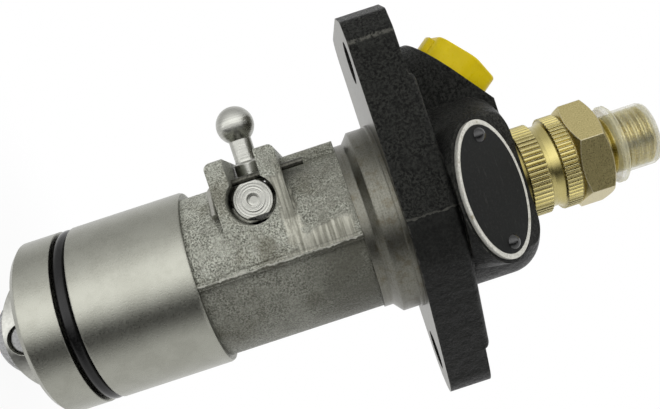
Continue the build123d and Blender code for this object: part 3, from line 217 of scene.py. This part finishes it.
# ---------------------------------------------------------------- node helpers
class Graph:
    """Short way to build the nodes of a new material, or of the world that is given."""

    def __init__(self, name, world=None):
        self.owner = world or bpy.data.materials.new(name)
        self.owner.use_nodes = True
        self.tree = self.owner.node_tree
        self.tree.nodes.clear()
        self.output = self.tree.nodes.new("ShaderNodeOutputWorld" if world else "ShaderNodeOutputMaterial")
        self.places = self.tree.nodes.new("ShaderNodeTexCoord").outputs
        self.coords = self.places["Object"]

    def node(self, kind, inputs=None, **settings):
        made = self.tree.nodes.new(kind)
        for key, value in settings.items():
            setattr(made, key, value)
        for key, value in (inputs or {}).items():
            self.put(made.inputs[key], value)
        return made

    def put(self, socket, value):
        if isinstance(value, bpy.types.NodeSocket):
            self.tree.links.new(value, socket)
        else:
            socket.default_value = value

    def math(self, operation, a, b=0.0, c=0.0):
        return self.node("ShaderNodeMath", {0: a, 1: b, 2: c}, operation=operation).outputs[0]

    def times(self, first, *others):
        for other in others:
            first = self.math("MULTIPLY", first, other)
        return first

    def plus(self, first, *others):
        for other in others:
            first = self.math("ADD", first, other)
        return first

    def either(self, first, *others):
        for other in others:
            first = self.math("MAXIMUM", first, other)
        return first

    def outside(self, mask):
        return self.math("SUBTRACT", 1.0, mask)

    def vector(self, operation, a, b):
        return self.node("ShaderNodeVectorMath", {0: a, 1: b}, operation=operation).outputs

    def noise(self, size, detail=3.0, rough=0.55, stretch=(1, 1, 1)):
        """Noise with lumps about `size` millimetres across, longer where stretch is under 1."""
        at = self.vector("MULTIPLY", self.coords, stretch)[0]
        made = self.node(
            "ShaderNodeTexNoise",
            {"Vector": at, "Scale": 1 / (size * MM), "Detail": detail, "Roughness": rough},
        )
        return made.outputs["Fac"]

    def cells(self, size):
        """Distance from the middle of cells about `size` millimetres across."""
        made = self.node("ShaderNodeTexVoronoi", {"Vector": self.coords, "Scale": 1 / (size * MM)})
        return made.outputs["Distance"]

    def ramp(self, value, low, high, to_low=0.0, to_high=1.0, smooth=True):
        made = self.node(
            "ShaderNodeMapRange",
            {"Value": value, "From Min": low, "From Max": high, "To Min": to_low, "To Max": to_high},
            interpolation_type="SMOOTHSTEP" if smooth else "LINEAR",
        )
        return made.outputs[0]

    def spread(self, noise, to_low=0.0, to_high=1.0):
        """The usual range of a noise, spread over two values."""
        return self.ramp(noise, 0.3, 0.7, to_low, to_high)

    def between(self, value, low, high, soft=0.2):
        """Mask from `low` to `high`, with soft ends."""
        rise = self.ramp(value, low - soft, low + soft)
        return self.times(rise, self.ramp(value, high - soft, high + soft, 1.0, 0.0))

    def ragged(self, noise, reach):
        """Noise about zero, `reach` from end to end."""
        return self.times(self.plus(noise, -0.5), reach)

    def mix(self, share, a, b):
        """Colour between two colours."""
        return self.node("ShaderNodeMix", {0: share, 6: a, 7: b}, data_type="RGBA").outputs[2]

    def blend(self, share, a, b):
        """Number between two numbers."""
        return self.node("ShaderNodeMix", {0: share, 2: a, 3: b}, data_type="FLOAT").outputs[0]

    def cover(self, share, below, above):
        """One shader over another."""
        return self.node("ShaderNodeMixShader", {0: share, 1: below, 2: above}).outputs[0]

    def bump(self, height, distance, strength=1.0, under=None):
        made = self.node(
            "ShaderNodeBump", {"Height": height, "Distance": distance * MM, "Strength": strength}
        )
        if under is not None:
            self.put(made.inputs["Normal"], under)
        return made.outputs[0]

    def split(self, vector):
        return tuple(self.node("ShaderNodeSeparateXYZ", {0: vector}).outputs)

    def xyz(self):
        """Place in the row frame, in millimetres."""
        return self.split(self.vector("MULTIPLY", self.coords, (1 / MM,) * 3)[0])

    def geometry(self, name):
        return self.node("ShaderNodeNewGeometry").outputs[name]

    def length(self, a, b):
        return self.math("SQRT", self.plus(self.times(a, a), self.times(b, b)))

    def radius(self):
        """Distance from the pump axis, in millimetres."""
        x, y, _ = self.xyz()
        return self.length(x, y)

    def soft_edges(self, size):
        """Normal that rounds the corners, and a mask of those corners."""
        rounded = self.node("ShaderNodeBevel", {"Radius": size * MM}, samples=4).outputs[0]
        along = self.vector("DOT_PRODUCT", rounded, self.geometry("True Normal"))
        return rounded, self.ramp(along["Value"], 0.985, 0.90)

    def corners(self, reach):
        """Mask of inside corners, within `reach` millimetres, where painted shade darkens the colour."""
        made = self.node("ShaderNodeAmbientOcclusion", {"Distance": reach * MM}, samples=6)
        return self.ramp(made.outputs["AO"], 0.80, 0.35)

    def shader(self, **inputs):
        made = self.node("ShaderNodeBsdfPrincipled")
        for key, value in inputs.items():
            self.put(made.inputs[key.replace("_", " ")], value)
        return made.outputs[0]

    def done(self, surface):
        self.tree.links.new(surface, self.output.inputs["Surface"])
        return self.owner


# ---------------------------------------------------------------- housing
def housing_zones(g):
    """Masks of the painted zone, the ground or bored zone and the turned zone. The rest is bare casting."""
    _, _, z = g.xyz()
    _, _, up = g.split(g.geometry("True Normal"))
    mounting = g.times(g.ramp(up, -0.92, -0.98), g.between(z, -FACE, FACE, 0.05))
    wall = g.ramp(z, -0.1, 0.1, TAPPET_BORE, VALVE_BORE, smooth=False)
    bored = g.ramp(g.math("SUBTRACT", g.radius(), wall), 0.05, -0.05, smooth=False)
    painted = g.times(g.ramp(z, *PAINT_START, smooth=False), g.outside(mounting), g.outside(bored))
    ground = g.ramp(z, SLEEVE_TOP + 0.02, SLEEVE_TOP - 0.02, smooth=False)
    turned = g.times(g.ramp(z, NECK_TOP - 0.02, NECK_TOP + 0.02, smooth=False), g.outside(painted))
    return painted, g.either(ground, bored), turned


def grinding_marks(g):
    """Two ground patches beside the rod boss, and the marks of the wheel."""
    x, y, z = g.xyz()
    ragged = g.ragged(g.noise(1.4, 4, 0.65), 3.0)
    front = g.ramp(y, *PATCH_FRONT)
    foot = g.times(
        g.between(g.plus(z, ragged), *FOOT_Z, 0.5), g.between(g.plus(x, ragged), *FOOT_X, 0.6), front
    )
    upper_edge = g.ramp(z, *STRIP_EDGE_Z, *STRIP_EDGE_X)
    strip = g.times(
        g.between(g.plus(z, ragged), *STRIP_Z, 0.7),
        g.ramp(g.math("SUBTRACT", g.plus(x, g.times(ragged, 0.7)), upper_edge), -0.6, 0.8),
        g.ramp(g.plus(x, g.times(ragged, 0.2)), SEAM + 0.1, SEAM - 0.3),
        front,
    )
    marks = g.noise(0.50, 2, 0.5, stretch=(0.05, 0.4, 1))
    return g.either(foot, strip), marks


def seam_line(g):
    """Irregular flash of metal along the mould seam, and a mask for the painted shadow under it."""
    x, _, _ = g.xyz()
    across = g.plus(x, -SEAM, g.ragged(g.noise(2.5, 4, 0.6), 1.4))
    width = g.ramp(g.noise(1.2), 0.35, 0.65, 0.0, 0.20)
    flash = g.ramp(g.math("SUBTRACT", g.math("ABSOLUTE", across), width), 0.16, 0.0)
    return flash, g.between(across, 0.25, 0.55, 0.15)


def cast_colour(g, grain):
    """Bare blasted iron: its grain with painted shade in the hollows and painted light on the crests, broad
    clouds, some rust, and painted shade towards the pilot, past the seam and in inside corners.
    """
    x, _, z = g.xyz()
    cloud = g.noise(3.2, 4, 0.6)
    # grain tone with painted shade in the hollows and painted light on the crests
    colour = g.mix(g.ramp(grain, 0.33, 0.67), CAST_HOLLOW_SHADE, CAST_CREST_LIGHT)
    colour = g.mix(g.ramp(cloud, 0.42, 0.64, 0.0, 0.45), colour, CAST_PALE)
    colour = g.mix(g.ramp(g.noise(5.0, 3, 0.6), 0.48, 0.66, 0.0, 0.35), colour, CAST_DULL)
    colour = g.mix(g.ramp(g.noise(7.0, 4, 0.6), 0.50, 0.68, 0.0, 0.35), colour, CAST_RUST)
    # painted shade with some brown staining towards the pilot
    shade_by_pilot = g.times(g.ramp(z, *BY_PILOT, 0.0, 0.45), g.ramp(cloud, 0.36, 0.58, 0.4, 1.0))
    colour = g.mix(shade_by_pilot, colour, CAST_SHADE_BY_PILOT)
    # painted shade on the side past the seam, graded by height
    below = g.ramp(x, SEAM - 0.1, SEAM + 0.3)
    colour = g.mix(g.times(below, g.ramp(z, *BELOW_SEAM, 0.60, 0.80)), colour, CAST_SHADE_PAST_SEAM)
    # painted shade darkens inside corners
    return g.mix(g.times(g.corners(3.0), 0.75), colour, CAST_CORNER_SHADE)


def cast_finish(g):
    """Bare iron with its mould seam and ground patches: colour, metal share, roughness and height."""
    _, y, _ = g.xyz()
    grain = g.noise(0.34, 3, 0.66)
    flash, shadow_under_seam = seam_line(g)
    front = g.ramp(y, 0, -1)
    seam = g.times(flash, front)
    # painted shadow under the seam
    colour = g.mix(g.times(shadow_under_seam, front, 0.7), cast_colour(g, grain), SEAM_SHADOW)
    colour = g.mix(g.times(seam, 0.8), colour, SEAM_FLASH)
    height = g.plus(g.times(grain, 1.5), g.times(g.cells(0.60), 0.55), g.times(g.noise(2.6), 1.7))
    height = g.plus(height, g.times(seam, 0.9))
    patch, marks = grinding_marks(g)
    wheel = g.mix(g.ramp(marks, 0.36, 0.64), WHEEL_MARK, WHEEL_LAND)
    colour = g.mix(g.times(patch, 0.85), colour, wheel)
    height = g.blend(patch, height, g.plus(g.times(marks, 0.5), 1.3))
    rough = g.blend(patch, g.spread(grain, 0.46, 0.36), 0.34)
    return colour, CAST_METAL, rough, height


def paint_finish(g, edge_mask):
    """Black paint over the rough casting, smoother past the seam and chipped on its corners, with painted
    light on the crests of its relief, painted glints, painted shade in inside corners, and painted
    highlight lines along the seam and one crease.
    """
    x, y, z = g.xyz()
    paint_relief = g.noise(0.50, 4, 0.70)
    lumps = g.noise(2.8, 3, 0.5)
    coarse = g.ramp(x, SEAM + 0.3, SEAM - 0.5, 0.20, 1.0)
    # painted light on the crests of the paint's relief
    colour = g.mix(g.times(g.ramp(paint_relief, 0.38, 0.64), coarse), PAINT_BLACK, PAINT_CREST_LIGHT)
    glint = g.times(g.ramp(g.noise(0.36, 3, 0.75), 0.56, 0.74, 0.0, 0.6), coarse)
    colour = g.mix(glint, colour, PAINT_GLINT)
    # painted shade darkens inside corners
    colour = g.mix(g.times(g.corners(4.0), 0.8), colour, PAINT_CORNER_SHADE)
    colour = g.mix(g.times(g.ramp(lumps, 0.44, 0.66, 0.0, 0.40), coarse), colour, PAINT_CLOUD)
    chipped = g.times(edge_mask, g.ramp(g.noise(1.3, 4, 0.65), 0.46, 0.58))
    seam = g.times(seam_line(g)[0], g.ramp(y, *SEAM_FRONT), g.ramp(z, *SEAM_TOP), 0.35)
    crease_highlight = g.times(
        g.between(g.plus(x, g.ragged(paint_relief, 1.6)), CREASE - CREASE_HALF, CREASE + CREASE_HALF, 0.25),
        g.ramp(y, *CREASE_FRONT),
        g.ramp(g.noise(0.9), 0.32, 0.46),
    )
    # chipped paint, and painted highlight lines along the seam and the crease, drawn as bare metal
    bare = g.either(g.times(chipped, 0.55), seam, g.times(crease_highlight, 0.75))
    colour = g.mix(bare, colour, PAINT_WEAR_AND_HIGHLIGHT)
    height = g.plus(g.times(paint_relief, coarse, 3.6), g.times(lumps, 2.2), g.times(seam, 1.2))
    return colour, g.times(bare, 0.6), g.spread(paint_relief, 0.50, 0.32), height


def sleeve_colour(g, fine):
    """Ground steel with soft clouds."""
    satin = g.mix(g.ramp(fine, 0.32, 0.70), SLEEVE_DARK, SLEEVE_LIGHT)
    return g.mix(g.ramp(g.noise(4.5, 4, 0.6), 0.40, 0.62, 0.0, 0.55), satin, SLEEVE_CLOUD)


def pilot_colour(g, rings, fine):
    """Turned iron with lathe rings and stains."""
    lathe = g.mix(g.ramp(rings, 0.30, 0.70), PILOT_DARK, PILOT_LIGHT)
    lathe = g.mix(g.ramp(fine, 0.35, 0.65, 0.0, 0.45), lathe, PILOT_GRAIN)
    stain = g.ramp(g.noise(1.8, 5, 0.75), 0.47, 0.68, 0.0, 0.60)
    # painted shade darkens inside corners
    return g.mix(g.times(g.corners(3.0), 0.6), g.mix(stain, lathe, PILOT_STAIN), PILOT_CORNER_SHADE)


def housing_material():
    """One casting in four finishes, told apart by place."""
    g = Graph("housing")
    painted, ground, turned = housing_zones(g)
    rounded, edge_mask = g.soft_edges(0.45)
    fine = g.noise(0.32, 4, 0.6)
    rings = g.noise(0.16, 3, 0.6, stretch=(0.01, 0.01, 1))
    colour, metal, rough, height = cast_finish(g)
    paint_colour, paint_metal, paint_rough, paint_height = paint_finish(g, edge_mask)

    colour = g.mix(turned, colour, pilot_colour(g, rings, fine))
    colour = g.mix(ground, colour, sleeve_colour(g, fine))
    colour = g.mix(painted, colour, paint_colour)
    metal = g.blend(g.either(turned, ground), metal, 1.0)
    metal = g.blend(painted, metal, paint_metal)
    rough = g.blend(turned, rough, 0.32)
    rough = g.blend(ground, rough, g.spread(fine, 0.26, 0.33))
    rough = g.blend(painted, rough, paint_rough)
    height = g.blend(painted, height, paint_height)
    height = g.blend(turned, height, g.plus(g.times(rings, 0.04), g.times(fine, 0.10)))
    height = g.blend(ground, height, g.times(fine, 0.09))
    normal = g.bump(height, CAST_RELIEF, 1.0, under=rounded)
    return g.done(g.shader(
        Base_Color=colour, Metallic=metal, Roughness=rough, Specular_IOR_Level=0.14, Normal=normal
    ))


# ---------------------------------------------------------------- other materials
def steel_material(name, tones, rough, bump=0.012, stretch=(1, 1, 1), faced_about=None):
    """Machined metal in a light and a dark tone. A rod's end gets turned rings about (x, z)."""
    g = Graph(name)
    light, dark = tones
    rounded, edge_mask = g.soft_edges(0.2)
    marks = g.noise(0.5, 3, 0.6, stretch=stretch)
    fine = g.noise(0.35, 3, 0.6)
    if faced_about:
        x, _, z = g.xyz()
        reach = g.length(g.plus(x, -faced_about[0]), g.plus(z, -faced_about[1]))
        line = g.node("ShaderNodeCombineXYZ", {0: reach}).outputs[0]
        rings = g.node("ShaderNodeTexNoise", {"Vector": line, "Scale": 2.6, "Detail": 2.0}).outputs["Fac"]
        marks = g.times(rings, g.ramp(reach, *ROD_CENTRE))
        fine = g.times(fine, 0.1)
    colour = g.mix(g.ramp(marks, 0.35, 0.65), dark, light)
    colour = g.mix(g.times(edge_mask, 0.4), colour, light)
    roughness = g.spread(g.noise(1.5, 3, 0.6), rough - 0.04, rough + 0.06)
    normal = g.bump(g.plus(marks, g.times(fine, 0.7)), bump, 1.0, under=rounded)
    return g.done(g.shader(Base_Color=colour, Metallic=1.0, Roughness=roughness, Normal=normal))


def wire_material():
    """Drawn wire, with painted shade on it but for the leg beside the ear, which has painted light."""
    g = Graph("wire_steel")
    _, _, z = g.xyz()
    fine = g.noise(0.35, 3, 0.6)
    shaded_wire = g.mix(g.spread(fine), *WIRE_SHADED)
    lit_wire = g.mix(g.spread(fine), *WIRE_LIT)
    colour = g.mix(g.ramp(z, WIRE_LEG + 1.0, WIRE_LEG), shaded_wire, lit_wire)
    rough = g.spread(fine, 0.30, 0.40)
    return g.done(g.shader(Base_Color=colour, Metallic=1.0, Roughness=rough, Normal=g.bump(fine, 0.01)))


def zinc_material():
    """Yellow zinc plating over turned and knurled steel, with painted shade in the knurl's grooves, grainy
    and duller on the hexagon.
    """
    g = Graph("yellow_zinc")
    _, _, z = g.xyz()
    rounded, edge_mask = g.soft_edges(0.25)
    cloud = g.noise(5.0, 3, 0.5)
    fine = g.noise(0.24, 3, 0.7)
    rings = g.noise(0.25, 2, 0.5, stretch=(0.05, 0.05, 1))
    hexagon = g.between(z, *HEXAGON, 0.1)
    waist = g.between(z, *WAIST, 0.1)
    knurled = g.times(g.outside(hexagon), g.outside(waist), g.ramp(z, HEXAGON[0], HEXAGON[0] - 0.1))
    groove = g.times(knurled, g.ramp(g.radius(), KNURL_CREST - 0.05, KNURL_CREST - 0.40))
    colour = g.mix(g.ramp(cloud, 0.35, 0.65), *ZINC)
    # painted shade in the knurl's grooves
    colour = g.mix(g.times(groove, 0.70), colour, ZINC_GROOVE_SHADE)
    colour = g.mix(hexagon, colour, g.mix(g.spread(fine), *ZINC_GRAIN))
    colour = g.mix(g.times(edge_mask, g.plus(0.3, g.times(hexagon, 0.6))), colour, ZINC_EDGE)
    rough = g.blend(hexagon, g.spread(fine, 0.20, 0.30), g.spread(fine, 0.26, 0.38))
    height = g.blend(hexagon, g.times(rings, waist, 0.5), fine)
    normal = g.bump(height, 0.03, 1.0, under=rounded)
    return g.done(g.shader(Base_Color=colour, Metallic=1.0, Roughness=rough, Normal=normal))


def rubber_material():
    """Black rubber, a little glossy."""
    g = Graph("rubber")
    fine = g.noise(0.5, 3, 0.6)
    colour = g.mix(g.spread(fine), *RUBBER)
    return g.done(g.shader(
        Base_Color=colour, Roughness=g.spread(fine, 0.14, 0.24), Specular_IOR_Level=0.28,
        Normal=g.bump(fine, 0.02, 0.6),
    ))


def yellow_plastic_material():
    """Moulded plastic with soft corners that carry a painted highlight."""
    g = Graph("yellow_plastic")
    rounded, edge_mask = g.soft_edges(0.5)
    fine = g.noise(0.7, 3, 0.6)
    colour = g.mix(g.ramp(g.noise(6, 3, 0.5), 0.35, 0.65), *YELLOW)
    # painted highlight on the corners
    colour = g.mix(g.times(edge_mask, 0.5), colour, YELLOW_EDGE_HIGHLIGHT)
    normal = g.bump(fine, 0.03, 0.8, under=rounded)
    return g.done(g.shader(
        Base_Color=colour, Roughness=g.spread(fine, 0.26, 0.36), Specular_IOR_Level=0.15, Normal=normal
    ))


def clear_plastic_material():
    """Thin milky plastic, through which the thread shows. It is denser where it is seen edge on."""
    g = Graph("clear_plastic")
    _, _, z = g.xyz()
    cloud = g.noise(4, 3, 0.5)
    colour = g.mix(g.ramp(cloud, 0.35, 0.65), *MILKY)
    facing = g.node("ShaderNodeLayerWeight", {"Blend": 0.5}).outputs["Facing"]
    edge = g.ramp(facing, 0.40, 1.0, 0.0, 0.38)
    end = g.ramp(z, CAP_END - 0.5, CAP_END, 0.0, 0.30)
    rim = g.ramp(z, CAP_RIM + 0.2, CAP_RIM - 0.2, 0.0, 0.25)
    streaks = g.ramp(g.noise(0.5, 2, 0.5, stretch=(0.1, 0.1, 1)), 0.4, 0.7, 0.0, 0.12)
    density = g.plus(0.10, edge, end, rim, streaks)
    normal = g.bump(g.noise(0.9, 3, 0.6), 0.01, 0.4)
    return g.done(g.shader(
        Base_Color=colour, Roughness=g.spread(cloud, 0.16, 0.26), Alpha=density, Normal=normal
    ))


def oval_reach(g):
    """Distance from the plate's middle, as a share of the way to its edge."""
    low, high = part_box("name_plate")
    centre = (low + high) / 2 / MM
    half_length = (high.x - low.x) / 2 / MM
    half_width = ((high.y - low.y) / MM - PLATE_THICKNESS * sin(PLATE_TILT)) / 2 / cos(PLATE_TILT)
    x, y, z = g.xyz()
    across = g.times(g.plus(y, -centre.y), cos(PLATE_TILT))
    along = g.plus(across, g.times(g.plus(z, -centre.z), sin(PLATE_TILT)))
    return g.length(
        g.math("DIVIDE", g.plus(x, -centre.x), half_length), g.math("DIVIDE", along, half_width)
    )


def plate_material():
    """Black enamel inside a bare metal rim."""
    g = Graph("plate")
    fine = g.noise(0.45, 4, 0.7)
    rim = g.ramp(g.plus(oval_reach(g), g.ragged(fine, 0.02)), *PLATE_RIM)
    scuffs = g.ramp(g.noise(0.8, 4, 0.7, stretch=(0.2, 1, 1)), 0.60, 0.72, 0.0, 0.25)
    enamel = g.mix(scuffs, g.mix(g.ramp(fine, 0.45, 0.72), *ENAMEL), ENAMEL_SCUFF)
    tarnish = g.ramp(g.noise(1.6, 4, 0.6), 0.58, 0.72, 0.0, 0.7)
    bare = g.mix(tarnish, g.mix(g.ramp(fine, 0.35, 0.7), *RIM), RIM_TARNISH)
    rough = g.blend(rim, g.spread(fine, 0.30, 0.42), 0.42)
    normal = g.bump(g.plus(rim, g.times(fine, 0.12)), 0.10, 1.0)
    return g.done(g.shader(
        Base_Color=g.mix(rim, enamel, bare), Metallic=g.times(rim, 0.55), Roughness=rough,
        Specular_IOR_Level=0.15, Normal=normal,
    ))


def rivet_material():
    """Black, glossy rivet heads."""
    g = Graph("rivet")
    fine = g.noise(0.4, 4, 0.6)
    return g.done(g.shader(
        Base_Color=g.mix(g.ramp(fine, 0.4, 0.7), *RIVET), Roughness=0.10, Specular_IOR_Level=0.6,
        Normal=g.bump(fine, 0.01, 0.5),
    ))


def make_materials():
    """A material for each slot of the record, and two more kinds of ground steel."""
    return {
        "housing": housing_material(),
        "rubber": rubber_material(),
        "ground_steel": steel_material("ground_steel", GROUND_STEEL, 0.32, bump=0.005),
        "ball_stud": steel_material("ball_stud", GROUND_STEEL, 0.30, bump=0.03, stretch=(1, 0.02, 0.02)),
        "rod_end": steel_material("rod_end", GROUND_STEEL, 0.26, bump=0.14, faced_about=ROD_END),
        "wire_steel": wire_material(),
        "hardened_steel": steel_material("hardened_steel", HARDENED_STEEL, 0.28),
        "spring_steel": steel_material("spring_steel", SPRING_STEEL, 0.32),
        "copper": steel_material("copper", COPPER, 0.35),
        "bronze": steel_material("bronze", BRONZE, 0.35),
        "yellow_zinc": zinc_material(),
        "yellow_plastic": yellow_plastic_material(),
        "clear_plastic": clear_plastic_material(),
        "plate": plate_material(),
        "rivet": rivet_material(),
    }


def dress_nodes(materials):
    """Each CAD node takes the material of its slot in the record, or its own kind of ground steel."""
    own = {"control_rod": "rod_end", "ball_stud": "ball_stud"}
    for part in frame["record"]["subparts"]:
        finish = own.get(part["node"], part["material_slot"])
        mesh = NODES[part["node"]].data
        mesh.materials.clear()
        mesh.materials.append(materials[finish])


def shortening_spring(node):
    """Copy of a CAD spring with a mesh of its own, attached to the housing in place of the CAD node, which
    is hidden. A CAD node keeps its length.
    """
    source = NODES[node]
    spring = bpy.data.objects.new(node + "_coil", source.data.copy())
    bpy.context.scene.collection.objects.link(spring)
    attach(spring, "housing")
    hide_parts(node)
    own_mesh(spring)


# ---------------------------------------------------------------- stage, lights, camera
def white_stage():
    """Pale floor under the roller: white to the camera, with the pump's shadow, and clear from below."""
    low, _ = cad_box
    bpy.ops.mesh.primitive_grid_add(x_subdivisions=8, y_subdivisions=8, size=FLOOR_SIZE)
    floor = bpy.context.object
    floor.name = "floor"
    floor.location = (0, 0, low.z - FLOOR_GAP)
    floor.visible_glossy = False
    g = Graph("floor")
    paths = g.node("ShaderNodeLightPath").outputs
    seen = g.either(paths["Is Camera Ray"], paths["Is Glossy Ray"], paths["Is Transmission Ray"])
    white = g.node("ShaderNodeEmission", {"Color": tone(1), "Strength": 1.0}).outputs[0]
    matt = g.shader(Base_Color=g.mix(g.noise(300, 2), *FLOOR), Roughness=0.9)
    whiteness = g.times(seen, g.ramp(g.radius(), *SHADOW_REACH, SHADOW_KEPT, 1.0))
    from_below = g.times(g.geometry("Backfacing"), paths["Is Camera Ray"])
    clear = g.node("ShaderNodeBsdfTransparent").outputs[0]
    floor.data.materials.append(g.done(g.cover(from_below, g.cover(whiteness, matt, white), clear)))


def world_light():
    """Soft even light, and a white backdrop that metal and glass see too, with a soft box and a card."""
    world = bpy.data.worlds.new("studio")
    bpy.context.scene.world = world
    g = Graph("studio", world)

    def light(colour, strength):
        return g.node("ShaderNodeBackground", {"Color": colour, "Strength": strength}).outputs[0]

    x, y, _ = g.split(g.places["Generated"])
    turn = g.math("ARCTAN2", g.times(x, -1.0), g.times(y, -1.0))
    bands = g.node("ShaderNodeValToRGB", {0: g.math("MULTIPLY_ADD", turn, 0.5 / pi, 0.5)})
    stops = bands.color_ramp.elements
    for degrees, level in STUDIO[1:-1]:
        stops.new(degrees / 360 + 0.5).color = tone(level)
    stops[0].color = tone(STUDIO[0][1])
    stops[-1].color = tone(STUDIO[-1][1])
    paths = g.node("ShaderNodeLightPath").outputs
    mirrored = g.either(paths["Is Glossy Ray"], paths["Is Transmission Ray"])
    lit = g.cover(mirrored, light(tone(1), AMBIENT), light(bands.outputs[0], 1.0))
    g.done(g.cover(paths["Is Camera Ray"], lit, light(tone(1), 1.0)))


def studio_lights():
    """Softboxes aimed at the middle of the pump. Metal mirrors the studio instead of them."""
    for name, place, size, power in LAMPS:
        data = bpy.data.lights.new(name, "AREA")
        data.shape = "RECTANGLE"
        data.size, data.size_y = size
        data.energy = power
        lamp = bpy.data.objects.new(name, data)
        bpy.context.scene.collection.objects.link(lamp)
        lamp.visible_glossy = False
        lamp.location = Vector(place)
        lamp.rotation_euler = (Vector(LAMP_AIM) - lamp.location).to_track_quat("-Z", "Y").to_euler()


def photo_camera():
    """Camera at the photograph's viewing angle, rolled about its view."""
    data = bpy.data.cameras.new("camera")
    data.sensor_width = SENSOR
    data.sensor_fit = "HORIZONTAL"
    data.lens = FOCAL_PIXELS / PICTURE_WIDTH * SENSOR
    data.clip_start = NEAREST
    camera = bpy.data.objects.new("camera", data)
    bpy.context.scene.collection.objects.link(camera)
    right = Vector((sin(CAMERA_ROLL), 0, cos(CAMERA_ROLL)))
    back = Vector((0, -1, 0))
    up = back.cross(right)
    turn = Matrix((right, up, back)).transposed().to_4x4()
    camera.matrix_world = Matrix.Translation(CAMERA_PLACE) @ turn
    bpy.context.scene.camera = camera


dress_nodes(make_materials())
shortening_spring("plunger_spring")
shortening_spring("delivery_valve_spring")
white_stage()
world_light()
studio_lights()
photo_camera()
bpy.context.scene.view_settings.view_transform = "Standard"
